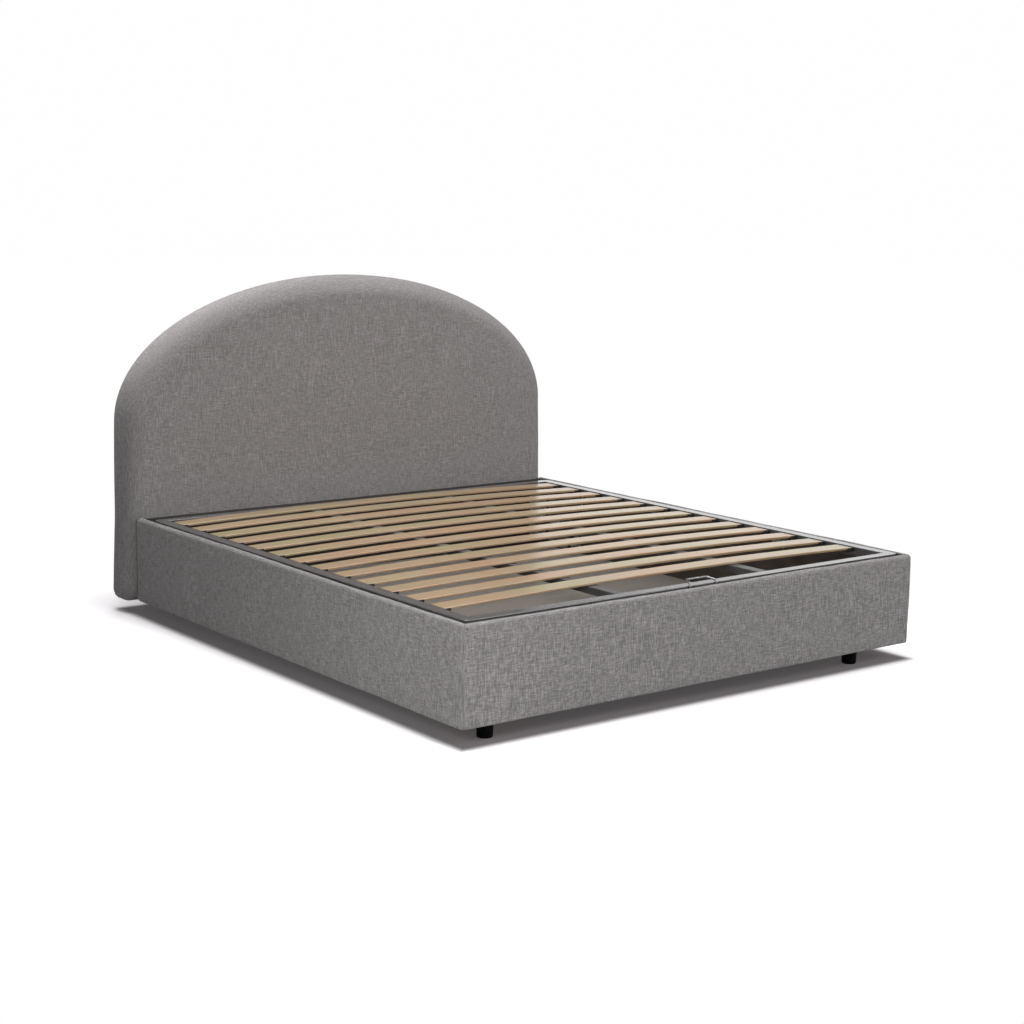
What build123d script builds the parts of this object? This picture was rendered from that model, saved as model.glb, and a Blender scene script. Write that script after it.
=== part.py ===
"""Upholstered double bed with a lifting slatted platform over a storage base.

Frame: origin at the bottom centre of the whole bed, +X to the sleeper's side,
+Y towards the headboard, +Z up. The foot of the bed faces -Y. Millimetres.
"""
import os
from math import asin, cos, degrees, pi, radians, sin

from build123d import *

# Base: three padded rails and a headboard
base_width = 1890
base_length = 2060
base_clearance = 57
rail_height = 309
corner_radius = 18
crown_radius = 14
hem_radius = 4
overrun = 5

# Rails: a board with a padded fabric cover over its face, crown and hem
board_thickness = 16
cover_face = 4
cover_crown = 6
cover_hem = 2
crown_inner_radius = 4
mitre_reach_share = 0.1

# Headboard
headboard_height = 1233
headboard_clearance = 43
headboard_foot_overhang = 34
headboard_shoulder_overhang = 20
headboard_shoulder_height = 711
headboard_thickness = 136
headboard_soft_radius = 70
headboard_back_radius = 17
back_board_thickness = 18
back_board_inset = 21
headboard_frame_depth = 60
post_width = 70
post_spread = 1000
post_top = 900
cross_rail_height = 90
cross_rail_low = 120
cross_rail_rise = 400

# Lifting platform: a welded ring of flat tube with two inner tubes
side_gap = 12
foot_gap = 15
head_gap = 85
platform_proud = 0
tube_width = 40
tube_height = 30
tube_wall = 2
tube_edge_radius = 2
frame_corner_radius = 25
inner_tube_height = 24
inner_tube_shares = (-0.16, 0.16)

# Sprung slats and the trays that hold their ends
slat_count = 13
slat_foot_setback = 242
slat_head_setback = 186
slat_width = 70
slat_thickness = 8
slat_bow = 13
slat_edge_radius = 2
slat_drop = 2
slat_play = 1
tray_reach = 30
tray_stop = 7
tray_floor = 5
tray_cheek = 3
tray_drop = 1

# Pull handle: a bent rod welded to the foot tube
handle_width = 118
handle_top_width = 93
handle_rod = 7
handle_root = 14
handle_bend_height = 7
handle_lean = 34
handle_rise = 14
handle_foot_bend = 9
handle_top_bend = 10

# Lift hinge: a bracket on each side rail, a pin, and an arm under the platform
head_panel_thickness = 18
head_panel_drop = 8
pivot_setback = 115
pivot_drop = 66
pivot_pin_diameter = 10
running_clearance = 0.05
face_clearance = 0.3
bracket_plate = 3.5
bracket_margin = 22
bracket_crown = 16
arm_plate = 4
arm_inset = 2
arm_pivot_radius = 18
arm_tip_radius = 15
pin_shoulder_diameter = 20
retaining_ring_diameter = 18
retaining_ring_thickness = 1.5

# Gas struts
lift_angle = 38
strut_reach = 240
strut_tip_drop = 18
strut_floor_gap = 27
strut_side_gap = 2
cylinder_diameter = 22
cylinder_wall = 1.5
cylinder_cap = 8
cylinder_lead = 8
rod_diameter = 10
piston_thickness = 10
piston_rest_gap = 30
eye_diameter = 20
eye_width = 12
stud_diameter = 8
stud_shoulder_diameter = 14
stud_head_diameter = 12
stud_head_thickness = 2
rod_gland_gap = 27
neck_diameter = 10
rod_seat = 4

# Corner brackets, bolts and the rests under the platform
corner_flange = 50
corner_plate = 3
corner_height = 180
corner_lift = 110
bolt_diameter = 8
bolt_head_width = 13
bolt_head_height = 5.3
bolt_length = 14
corner_bolt_spacing = 110
corner_bolt_share = 0.58
bracket_bolt_shares = ((0, 0.32), (0, 1), (0.5, 1), (0.5, 0.55))
rest_flange = 40
rest_length = 60
rest_pad_thickness = 3
rest_pad_margin = 4
side_rest_shares = (0.3, 0.62)
foot_rest_shares = (-0.36, -0.13, 0.13, 0.36)
headboard_bolt_length = 100
headboard_bolt_low = 150
headboard_bolt_rise = 150

# Storage floor, its battens, the centre bearer and the feet
batten = 20
floor_thickness = 6
floor_play = 1
bearer_width = 40
foot_plate_thickness = 14
foot_plate_width = 290
foot_plate_depth = 120
foot_top_diameter = 54
foot_sole_diameter = 48
foot_edge_radius = 3
foot_stem_diameter = 8
foot_stem_length = 12
foot_inset_left = 135
foot_inset_right = 215
foot_setback = 75
centre_foot_shares = (0.33, 0.66)

# Places that follow from the sizes above
rail_thickness = board_thickness + cover_face
half_width = base_width / 2
inner_half = half_width - rail_thickness
foot_y = -(base_length + headboard_thickness) / 2
head_y = foot_y + base_length
rail_bottom = base_clearance
rail_top = rail_bottom + rail_height
foot_inner_y = foot_y + rail_thickness
head_inner_y = head_y - head_panel_thickness
platform_top = rail_top + platform_proud
tube_bottom = platform_top - tube_height
platform_half = inner_half - side_gap
platform_foot_y = foot_inner_y + foot_gap
platform_head_y = head_y - head_gap
floor_low = rail_bottom + batten
floor_top = floor_low + floor_thickness

# Hinge and strut geometry in the plane of one side
pivot_y = head_y - pivot_setback
pivot_z = platform_top - pivot_drop
tip_z = tube_bottom - strut_tip_drop
tip_rise = degrees(asin((tip_z - pivot_z) / strut_reach))
tip_y = pivot_y - strut_reach * cos(radians(tip_rise))
strut_base_z = floor_top + strut_floor_gap
strut_base_dip = degrees(asin((pivot_z - strut_base_z) / strut_reach))
strut_base_y = pivot_y - strut_reach * cos(radians(strut_base_dip))
closed_spread = tip_rise + strut_base_dip
closed_length = 2 * strut_reach * sin(radians(closed_spread / 2))
open_length = 2 * strut_reach * sin(radians((closed_spread + lift_angle) / 2))
middle_length = 2 * strut_reach * sin(radians((closed_spread + lift_angle / 2) / 2))
strut_slot = middle_length - (closed_length + open_length) / 2
arm_outer = platform_half - arm_inset
arm_inner = arm_outer - arm_plate
bracket_inner = inner_half - bracket_plate
strut_centre = arm_inner - strut_side_gap - cylinder_diameter / 2

sides = (("left", -1), ("right", 1))


def block(xs, ys, zs):
    """A plain block between two opposite corners, given as pairs of limits."""
    size = [abs(pair[1] - pair[0]) for pair in (xs, ys, zs)]
    centre = [(pair[0] + pair[1]) / 2 for pair in (xs, ys, zs)]
    return Pos(*centre) * Box(*size)


def rod_along_x(radius, x_from, x_to, y, z):
    """A round bar that runs along X between two places."""
    middle = (x_from + x_to) / 2
    return Pos(middle, y, z) * Rot(0, 90, 0) * Cylinder(radius, abs(x_to - x_from))


def keep_solids(shape):
    """The separate solids of a shape, as one group."""
    solids = shape.solids()
    return solids[0] if len(solids) == 1 else Compound(children=list(solids))


def save(name, shape):
    export_step(keep_solids(shape), os.path.join("parts", name + ".step"))


# Rails

def rail_ring(inset, low, high, radius):
    """The U of the two side rails and the foot rail, inset from the outer faces."""
    ring = block(
        (-half_width + inset, half_width - inset),
        (foot_y + inset, head_y),
        (low, high),
    )
    upright = ring.edges().filter_by(Axis.Z).group_by(Axis.Y)[0]
    return fillet(upright, radius)


def storage_well():
    return block(
        (-inner_half, inner_half),
        (foot_inner_y, head_y + overrun),
        (rail_bottom - overrun, rail_top + overrun),
    )


def padded_ring():
    """The outer form of the covered rails, rounded along crown and hem."""
    ring = rail_ring(0, rail_bottom, rail_top, corner_radius)
    crown = [e for e in ring.faces().sort_by(Axis.Z)[-1].edges() if e.center().Y < head_y - overrun]
    ring = fillet(crown, crown_radius)
    hem = [e for e in ring.faces().sort_by(Axis.Z)[0].edges() if e.center().Y < head_y - overrun]
    ring = fillet(hem, hem_radius)
    ring -= storage_well()
    inner = [
        e for e in ring.faces().sort_by(Axis.Z)[-1].edges()
        if abs(e.center().X) < inner_half + hem_radius
        and foot_inner_y - hem_radius < e.center().Y < head_y - overrun
    ]
    return fillet(inner, crown_inner_radius)


def mitre_region():
    """The wedge of the base that belongs to the foot rail, cut at 45 degrees."""
    reach = half_width + overrun
    depth = mitre_reach_share * base_width
    outline = Polyline(
        (-reach, foot_y - overrun),
        (reach, foot_y - overrun),
        (reach - depth, foot_y - overrun + depth),
        (-reach + depth, foot_y - overrun + depth),
        close=True,
    )
    wedge = extrude(make_face(outline), rail_height + 2 * overrun)
    return Pos(0, 0, rail_bottom - overrun) * wedge


def split_rails(ring):
    """The foot, left and right pieces of a ring, mitred at the foot corners."""
    wedge = mitre_region()
    flanks = ring - wedge
    span = (foot_y - overrun, head_y + overrun)
    heights = (rail_bottom - overrun, rail_top + overrun)
    pieces = {"foot": ring & wedge}
    for name, sign in sides:
        half = block((0, sign * (half_width + overrun)), span, heights)
        pieces[name] = flanks & half
    return pieces


# Fasteners

def bolt(seat, outward, length):
    """A hexagon-head bolt whose head sits on seat and points outward."""
    plane = Plane(origin=seat, z_dir=outward)
    head = extrude(plane * RegularPolygon(bolt_head_width / 2, 6, major_radius=False), bolt_head_height)
    shank = extrude(plane * Circle(bolt_diameter / 2), -length)
    return head + shank


def bolt_hole(seat, outward, length):
    plane = Plane(origin=seat, z_dir=outward)
    return extrude(plane * Circle(bolt_diameter / 2 + running_clearance), -length - face_clearance)


def corner_bolt_seats():
    """Two bolts through each flange of the four corner brackets."""
    offset_in = corner_bolt_share * corner_flange
    middle = corner_lift + corner_height / 2
    seats = []
    for _, sign in sides:
        for end_y, inward in ((foot_inner_y, 1), (head_inner_y, -1)):
            for level in (-corner_bolt_spacing / 2, corner_bolt_spacing / 2):
                side_seat = (sign * (inner_half - corner_plate), end_y + inward * offset_in, middle + level)
                end_seat = (sign * (inner_half - offset_in), end_y + inward * corner_plate, middle + level)
                seats.append((side_seat, (-sign, 0, 0)))
                seats.append((end_seat, (0, inward, 0)))
    return seats


def hinge_bolt_seats():
    seats = []
    for _, sign in sides:
        for back, down in bracket_bolt_shares:
            y = pivot_y - back * (pivot_y - strut_base_y)
            z = pivot_z - down * (pivot_z - strut_base_z)
            seats.append(((sign * bracket_inner, y, z), (-sign, 0, 0)))
    return seats


def rest_places():
    """Place and turn of each rest bracket: local +X points into the storage."""
    level = tube_bottom - face_clearance - rest_pad_thickness
    places = []
    for share in side_rest_shares:
        y = foot_y + share * base_length
        places.append(Location((-inner_half, y, level), (0, 0, 0)))
        places.append(Location((inner_half, y, level), (0, 0, 180)))
    for share in foot_rest_shares:
        places.append(Location((share * base_width, foot_inner_y, level), (0, 0, 90)))
    return places


def rest_bolt_seats():
    seats = []
    for place in rest_places():
        local = place * Location((corner_plate, 0, -corner_bolt_share * rest_flange))
        outward = (place * Location((corner_plate + rest_flange, 0, 0))).position - (
            place * Location((corner_plate, 0, 0))
        ).position
        seats.append((tuple(local.position), tuple(outward.normalized())))
    return seats


frame_bolt_seats = corner_bolt_seats() + hinge_bolt_seats() + rest_bolt_seats()


def headboard_bolt_seats():
    seats = []
    for _, sign in sides:
        for level in (headboard_bolt_low, headboard_bolt_low + headboard_bolt_rise):
            seats.append(((sign * post_spread / 2, head_inner_y, level), (0, -1, 0)))
    return seats


def cut_frame_bolts(piece):
    for seat, outward in frame_bolt_seats:
        piece -= bolt_hole(seat, outward, bolt_length)
    return piece


def cut_headboard_bolts(piece):
    for seat, outward in headboard_bolt_seats():
        piece -= bolt_hole(seat, outward, headboard_bolt_length)
    return piece


def make_frame_bolts():
    return Compound(children=[
        keep_solids(bolt(seat, outward, bolt_length)) for seat, outward in frame_bolt_seats
    ])


def make_headboard_bolts():
    return Compound(children=[
        keep_solids(bolt(seat, outward, headboard_bolt_length)) for seat, outward in headboard_bolt_seats()
    ])


# Rail boards, their covers and the head panel

def make_rails():
    boards = rail_ring(
        cover_face,
        rail_bottom + cover_hem,
        rail_top - cover_crown,
        corner_radius - cover_face,
    ) - storage_well()
    covers = padded_ring() - boards
    boards = cut_frame_bolts(boards)
    board_pieces = split_rails(boards)
    cover_pieces = split_rails(covers)
    save("foot_board", board_pieces["foot"])
    save("foot_cover", cover_pieces["foot"])
    for name, _ in sides:
        save("side_board_" + name, board_pieces[name])
        save("side_cover_" + name, cover_pieces[name])


def make_head_panel():
    panel = block(
        (-inner_half, inner_half),
        (head_inner_y, head_y),
        (rail_bottom, rail_top - head_panel_drop),
    )
    return cut_headboard_bolts(cut_frame_bolts(panel))


# Brackets

def make_corner_brackets():
    brackets = []
    for _, sign in sides:
        for end_y, inward in ((foot_inner_y, 1), (head_inner_y, -1)):
            heights = (corner_lift, corner_lift + corner_height)
            angle = block(
                (sign * inner_half, sign * (inner_half - corner_flange)),
                (end_y, end_y + inward * corner_flange),
                heights,
            )
            angle -= block(
                (sign * (inner_half - corner_plate), sign * (inner_half - corner_flange - overrun)),
                (end_y + inward * corner_plate, end_y + inward * (corner_flange + overrun)),
                (corner_lift - overrun, corner_lift + corner_height + overrun),
            )
            brackets.append(keep_solids(cut_frame_bolts(angle)))
    return Compound(children=brackets)


def make_rest_brackets():
    brackets = []
    for place in rest_places():
        along = (-rest_length / 2, rest_length / 2)
        upright = block((0, corner_plate), along, (-rest_flange, 0))
        shelf = block((0, rest_flange), along, (-corner_plate, 0))
        brackets.append(keep_solids(cut_frame_bolts(place * (upright + shelf))))
    return Compound(children=brackets)


def make_rest_pads():
    pads = []
    for place in rest_places():
        pad = block(
            (corner_plate + rest_pad_margin, rest_flange - rest_pad_margin),
            (-rest_length / 2 + rest_pad_margin, rest_length / 2 - rest_pad_margin),
            (0, rest_pad_thickness),
        )
        pads.append(place * pad)
    return Compound(children=pads)


# Headboard

def arch_face(inset):
    """The outline of the headboard, or one inset from it: a half ellipse over flaring sides."""
    shoulder = half_width + headboard_shoulder_overhang - inset
    foot = half_width + headboard_foot_overhang - inset
    low = headboard_clearance + inset
    base = Line((-foot, low), (foot, low))
    right = TangentArc((shoulder, headboard_shoulder_height), (foot, low), tangent=(0, -1))
    left = TangentArc((-shoulder, headboard_shoulder_height), (-foot, low), tangent=(0, -1))
    crown = EllipticalCenterArc(
        (0, headboard_shoulder_height),
        shoulder,
        headboard_height - headboard_shoulder_height - inset,
        arc_size=degrees(pi),
    )
    return make_face([base, right, crown, left])


def upright_extrusion(face, y_front, y_back):
    """A face drawn in X and Z, extruded along Y between two planes."""
    plane = Plane(origin=(0, y_back, 0), x_dir=(1, 0, 0), z_dir=(0, -1, 0))
    return extrude(plane * face, y_back - y_front)


def make_back_board():
    back = head_y + headboard_thickness
    return upright_extrusion(arch_face(back_board_inset), back - back_board_thickness, back)


def make_headboard_frame():
    """Two posts and two cross rails that stiffen the headboard inside its padding."""
    back = head_y + headboard_thickness - back_board_thickness
    depth = (back - headboard_frame_depth, back)
    outer = (post_spread + post_width) / 2
    inner = (post_spread - post_width) / 2
    foot = headboard_clearance + back_board_inset
    pieces = []
    for _, sign in sides:
        post = block((sign * inner, sign * outer), depth, (foot, post_top))
        pieces.append(keep_solids(cut_headboard_bolts(post)))
    for level in (cross_rail_low, cross_rail_low + cross_rail_rise):
        pieces.append(block((-inner, inner), depth, (level, level + cross_rail_height)))
    return Compound(children=pieces)


def make_headboard_cushion(back_board, frame):
    """Foam and fabric over the frame, with one wide soft edge round the front."""
    cushion = upright_extrusion(arch_face(0), head_y, head_y + headboard_thickness)
    front = cushion.faces().sort_by(Axis.Y)[0].edges()
    cushion = fillet(front, headboard_soft_radius)
    back = cushion.faces().sort_by(Axis.Y)[-1].edges()
    cushion = fillet(back, headboard_back_radius)
    cushion -= back_board
    for piece in frame.solids():
        cushion -= piece
    return cut_headboard_bolts(cushion)


# Platform

def platform_ring(inset, low, high):
    """The ring that the frame tubes form, inset from their faces, with rounded outer corners."""
    outer = block(
        (-platform_half + inset, platform_half - inset),
        (platform_foot_y + inset, platform_head_y - inset),
        (low, high),
    )
    outer = fillet(outer.edges().filter_by(Axis.Z), frame_corner_radius - inset)
    hole_inset = tube_width - inset
    hole = block(
        (-platform_half + hole_inset, platform_half - hole_inset),
        (platform_foot_y + hole_inset, platform_head_y - hole_inset),
        (low - overrun, high + overrun),
    )
    return outer - hole


def frame_wedge(y_edge, inward):
    """The part of the platform ring that belongs to one end tube, mitred."""
    reach = platform_half + overrun
    depth = tube_width + 2 * overrun
    start = y_edge - inward * overrun
    outline = Polyline(
        (-reach, start),
        (reach, start),
        (reach - depth, start + inward * depth),
        (-reach + depth, start + inward * depth),
        close=True,
    )
    wedge = extrude(make_face(outline), tube_height + 2 * overrun, dir=(0, 0, 1))
    return Pos(0, 0, tube_bottom - overrun) * wedge


def make_platform_ring():
    ring = platform_ring(0, tube_bottom, platform_top)
    long_edges = ring.faces().sort_by(Axis.Z)[-1].edges() + ring.faces().sort_by(Axis.Z)[0].edges()
    ring = fillet(long_edges, tube_edge_radius)
    ring -= platform_ring(tube_wall, tube_bottom + tube_wall, platform_top - tube_wall)
    foot_wedge = frame_wedge(platform_foot_y, 1)
    head_wedge = frame_wedge(platform_head_y, -1)
    save("frame_tube_foot", ring & foot_wedge)
    save("frame_tube_head", ring & head_wedge)
    flanks = ring - foot_wedge - head_wedge
    for name, sign in sides:
        half = block(
            (0, sign * (platform_half + overrun)),
            (platform_foot_y, platform_head_y),
            (tube_bottom - overrun, platform_top + overrun),
        )
        save("frame_tube_" + name, flanks & half)


def make_inner_tube(share):
    middle = share * base_width
    span = (platform_foot_y + tube_width, platform_head_y - tube_width)
    width = (middle - tube_width / 2, middle + tube_width / 2)
    low = platform_top - inner_tube_height
    tube = block(width, span, (low, platform_top))
    tube = fillet(tube.edges().filter_by(Axis.Y), tube_edge_radius)
    return tube - block(
        (width[0] + tube_wall, width[1] - tube_wall),
        (span[0] - overrun, span[1] + overrun),
        (low + tube_wall, platform_top - tube_wall),
    )


tray_outer_x = platform_half - tube_width
slat_half = tray_outer_x - tray_stop - slat_play
slat_pitch = (base_length - slat_foot_setback - slat_head_setback) / (slat_count - 1)
slat_end_top = platform_top - slat_drop
slat_end_low = slat_end_top - slat_thickness


def slat_y(index):
    return foot_y + slat_foot_setback + index * slat_pitch


def make_slat(index):
    """One bowed beech slat: a strip with softened edges along a shallow arc."""
    y = slat_y(index)
    level = slat_end_top - slat_thickness / 2
    path = ThreePointArc((-slat_half, y, level), (0, y, level + slat_bow), (slat_half, y, level))
    strip = RectangleRounded(slat_width, slat_thickness, slat_edge_radius)
    section = Plane(origin=path @ 0, x_dir=(0, 1, 0), z_dir=path % 0) * strip
    return sweep(section, path=path)


def make_slat_trays(sign):
    """The end trays of one side: a floor, two cheeks and a stop against the tube."""
    trays = []
    half_tray = slat_width / 2 + slat_play + tray_cheek
    for index in range(slat_count):
        middle = slat_y(index)
        tray = block(
            (sign * tray_outer_x, sign * (tray_outer_x - tray_reach)),
            (middle - half_tray, middle + half_tray),
            (slat_end_low - tray_floor, slat_end_top - tray_drop),
        )
        tray -= block(
            (sign * (tray_outer_x - tray_stop), sign * (tray_outer_x - tray_reach - overrun)),
            (middle - half_tray + tray_cheek, middle + half_tray - tray_cheek),
            (slat_end_low, slat_end_top + overrun),
        )
        trays.append(keep_solids(tray))
    return Compound(children=trays)


def make_pull_handle():
    """A low loop of round rod that leans back over the foot tube and narrows towards its bar."""
    x = (handle_width - handle_rod) / 2
    bar_x = (handle_top_width - handle_rod) / 2
    y = platform_foot_y - handle_rod / 2
    path = FilletPolyline(
        (-x, y, platform_top - handle_root),
        (-x, y, platform_top + handle_bend_height),
        (-bar_x, y + handle_lean, platform_top + handle_rise),
        (bar_x, y + handle_lean, platform_top + handle_rise),
        (x, y, platform_top + handle_bend_height),
        (x, y, platform_top - handle_root),
        radius=[handle_foot_bend, handle_top_bend, handle_top_bend, handle_foot_bend],
    )
    section = Plane(origin=path @ 0, z_dir=path % 0) * Circle(handle_rod / 2)
    return sweep(section, path=path)


# Lift hinge

def side_plate(points, x_from, x_to):
    """A flat plate cut to an outline in Y and Z, standing across X."""
    low = min(x_from, x_to)
    face = make_face(Polyline(*points, close=True))
    plane = Plane(origin=(low, 0, 0), x_dir=(0, 1, 0), z_dir=(1, 0, 0))
    return extrude(plane * face, abs(x_to - x_from))


def make_hinge_bracket(sign):
    front = strut_base_y - 2 * bracket_margin
    back = pivot_y + bracket_margin
    low = strut_base_z - bracket_margin
    high = pivot_z + bracket_crown
    plate = side_plate(
        (
            (back, high),
            (back, low),
            (front, low),
            (front, strut_base_z + bracket_margin),
            (pivot_y - 2 * bracket_margin, high),
        ),
        sign * inner_half,
        sign * bracket_inner,
    )
    ends = (sign * (inner_half + overrun), sign * (bracket_inner - overrun))
    plate -= rod_along_x(pivot_pin_diameter / 2 + running_clearance, *ends, pivot_y, pivot_z)
    plate -= rod_along_x(stud_diameter / 2 + running_clearance, *ends, strut_base_y, strut_base_z)
    return cut_frame_bolts(plate)


def make_lift_arm(sign):
    """The plate under the side tube that turns on the pivot and carries the strut."""
    plate = side_plate(
        (
            (pivot_y + arm_pivot_radius, tube_bottom),
            (pivot_y + arm_pivot_radius, pivot_z),
            (pivot_y, pivot_z - arm_pivot_radius),
            (tip_y, tip_z - arm_tip_radius),
            (tip_y - arm_tip_radius, tip_z),
            (tip_y - arm_tip_radius, tube_bottom),
        ),
        sign * arm_outer,
        sign * arm_inner,
    )
    plate += rod_along_x(arm_pivot_radius, sign * arm_outer, sign * arm_inner, pivot_y, pivot_z)
    plate += rod_along_x(arm_tip_radius, sign * arm_outer, sign * arm_inner, tip_y, tip_z)
    ends = (sign * (arm_outer + overrun), sign * (arm_inner - overrun))
    plate -= rod_along_x(pivot_pin_diameter / 2 + running_clearance, *ends, pivot_y, pivot_z)
    plate -= rod_along_x(stud_diameter / 2 + running_clearance, *ends, tip_y, tip_z)
    return plate


def make_pivot_pins():
    """Two shouldered pins: the shoulder keeps bracket and arm apart."""
    pins = []
    tail = arm_inner - 2 * face_clearance - 2 * retaining_ring_thickness
    for _, sign in sides:
        pin = rod_along_x(pivot_pin_diameter / 2, sign * inner_half, sign * tail, pivot_y, pivot_z)
        pin += rod_along_x(
            pin_shoulder_diameter / 2,
            sign * bracket_inner,
            sign * (arm_outer + face_clearance),
            pivot_y,
            pivot_z,
        )
        pins.append(keep_solids(pin))
    return Compound(children=pins)


def make_retaining_rings():
    rings = []
    outer_x = arm_inner - face_clearance
    for _, sign in sides:
        span = (sign * outer_x, sign * (outer_x - retaining_ring_thickness))
        ring = rod_along_x(retaining_ring_diameter / 2, *span, pivot_y, pivot_z)
        bore = (sign * (outer_x + overrun), sign * (outer_x - retaining_ring_thickness - overrun))
        ring -= rod_along_x(pivot_pin_diameter / 2 + running_clearance, *bore, pivot_y, pivot_z)
        rings.append(keep_solids(ring))
    return Compound(children=rings)


def make_studs(outer_x, plate_x, y, z):
    """A pair of riveted ball studs: shoulder, shank through the eye, and head."""
    studs = []
    eye_outer = strut_centre + eye_width / 2 + face_clearance
    eye_inner = strut_centre - eye_width / 2 - face_clearance
    for _, sign in sides:
        stud = rod_along_x(stud_diameter / 2, sign * outer_x, sign * eye_inner, y, z)
        stud += rod_along_x(stud_shoulder_diameter / 2, sign * plate_x, sign * eye_outer, y, z)
        head = (sign * eye_inner, sign * (eye_inner - stud_head_thickness))
        stud += rod_along_x(stud_head_diameter / 2, *head, y, z)
        studs.append(keep_solids(stud))
    return Compound(children=studs)


# Gas struts

def strut_plane(sign):
    """Local Z runs up the strut from its base stud, local X runs along the bed's X."""
    up = Vector(0, tip_y - strut_base_y, tip_z - strut_base_z).normalized()
    return Plane(
        origin=(sign * strut_centre, strut_base_y, strut_base_z),
        x_dir=(1, 0, 0),
        z_dir=up,
    )


cylinder_end = closed_length - rod_gland_gap
stud_hole = stud_diameter / 2 + running_clearance


def upright_rod(radius, low, high):
    return Pos(0, 0, (low + high) / 2) * Cylinder(radius, high - low)


def make_strut_cylinder(sign):
    shell = upright_rod(cylinder_diameter / 2, eye_diameter / 2 + cylinder_lead, cylinder_end)
    shell -= upright_rod(
        cylinder_diameter / 2 - cylinder_wall,
        eye_diameter / 2 + cylinder_lead + cylinder_cap,
        cylinder_end - cylinder_cap,
    )
    shell -= upright_rod(
        rod_diameter / 2 + running_clearance,
        cylinder_end - cylinder_cap - overrun,
        cylinder_end + overrun,
    )
    neck = upright_rod(neck_diameter / 2, 0, eye_diameter / 2 + cylinder_lead)
    eye = rod_along_x(eye_diameter / 2, -eye_width / 2, eye_width / 2, 0, 0)
    bore = rod_along_x(stud_hole, -eye_width, eye_width, 0, 0)
    return strut_plane(sign) * (shell + neck + eye - bore)


def make_strut_rod(sign):
    """Piston, rod and end fitting: its slot takes up the strut's uneven stroke."""
    bore_radius = cylinder_diameter / 2 - cylinder_wall - running_clearance
    piston_low = eye_diameter / 2 + cylinder_lead + cylinder_cap + piston_rest_gap
    piston = upright_rod(bore_radius, piston_low, piston_low + piston_thickness)
    shaft = upright_rod(rod_diameter / 2, piston_low, closed_length - eye_diameter / 2 + rod_seat)
    half = (-eye_width / 2, eye_width / 2)
    end = rod_along_x(eye_diameter / 2, *half, 0, closed_length)
    end += rod_along_x(eye_diameter / 2, *half, 0, closed_length + strut_slot)
    end += block(half, (-eye_diameter / 2, eye_diameter / 2), (closed_length, closed_length + strut_slot))
    slot_radius = stud_diameter / 2 + face_clearance
    through = (-eye_width, eye_width)
    slot = rod_along_x(slot_radius, *through, 0, closed_length)
    slot += rod_along_x(slot_radius, *through, 0, closed_length + strut_slot)
    slot += block(through, (-slot_radius, slot_radius), (closed_length, closed_length + strut_slot))
    return strut_plane(sign) * (piston + shaft + end - slot)


# Storage floor and feet

def make_side_battens():
    """Battens screwed along the foot of the side rails to carry the floor."""
    span = (foot_inner_y, head_inner_y)
    return Compound(children=[
        block((sign * inner_half, sign * (inner_half - batten)), span, (rail_bottom, floor_low))
        for _, sign in sides
    ])


def make_end_battens():
    across = (-inner_half + batten, inner_half - batten)
    return Compound(children=[
        block(across, (start, start + inward * batten), (rail_bottom, floor_low))
        for start, inward in ((foot_inner_y, 1), (head_inner_y, -1))
    ])


def make_centre_bearer():
    span = (foot_inner_y + batten, head_inner_y - batten)
    half = bearer_width / 2
    bearer = block((-half, half), span, (rail_bottom, floor_low))
    return bearer - block(
        (-half + tube_wall, half - tube_wall),
        (span[0] - overrun, span[1] + overrun),
        (rail_bottom + tube_wall, floor_low - tube_wall),
    )


def make_floor_boards():
    """Four thin boards laid on the battens and the centre bearer."""
    middle = (foot_inner_y + head_inner_y) / 2
    halves = (("foot", foot_inner_y + floor_play, middle - floor_play / 2),
              ("head", middle + floor_play / 2, head_inner_y - floor_play))
    for side_name, sign in sides:
        across = (sign * floor_play / 2, sign * (inner_half - floor_play))
        for end_name, low, high in halves:
            board = block(across, (low, high), (floor_low, floor_top))
            save("floor_board_" + end_name + "_" + side_name, board)


def foot_places():
    """The four corner feet stand further in on the right than on the left."""
    left = -half_width + foot_inset_left
    right = half_width - foot_inset_right
    ys = (foot_y + foot_setback, head_y - foot_setback)
    return [(x, y) for x in (left, right) for y in ys]


def round_foot(height):
    """A round tapered foot with a rounded sole."""
    sole = foot_sole_diameter / 2
    outline = Polyline(
        (0, 0),
        (sole, 0),
        (foot_top_diameter / 2, height),
        (0, height),
        close=True,
    )
    foot = revolve(Plane.XZ * make_face(outline), Axis.Z)
    rim = foot.faces().sort_by(Axis.Z)[0].edges()
    return fillet(rim, foot_edge_radius)


def make_corner_feet():
    top = floor_low - foot_plate_thickness
    foot = round_foot(top) + upright_rod(foot_stem_diameter / 2, top - overrun, top + foot_stem_length)
    return Compound(children=[keep_solids(Pos(x, y, 0) * foot) for x, y in foot_places()])


def make_foot_plates():
    plates = []
    low = floor_low - foot_plate_thickness
    for x, y in foot_places():
        sign = 1 if x > 0 else -1
        outer = sign * (inner_half - batten)
        inward = 1 if y < foot_y + base_length / 2 else -1
        start = foot_inner_y + batten if inward > 0 else head_inner_y - batten
        plate = block(
            (outer, outer - sign * foot_plate_width),
            (start, start + inward * foot_plate_depth),
            (low, floor_low),
        )
        stem = Pos(x, y, 0) * upright_rod(
            foot_stem_diameter / 2 + running_clearance,
            low - overrun,
            low + foot_stem_length + face_clearance,
        )
        plates.append(keep_solids(plate - stem))
    return Compound(children=plates)


def make_centre_feet():
    foot = round_foot(rail_bottom)
    feet = []
    for share in centre_foot_shares:
        feet.append(keep_solids(Pos(0, foot_y + share * base_length, 0) * foot))
    return Compound(children=feet)


os.makedirs("parts", exist_ok=True)

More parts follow.
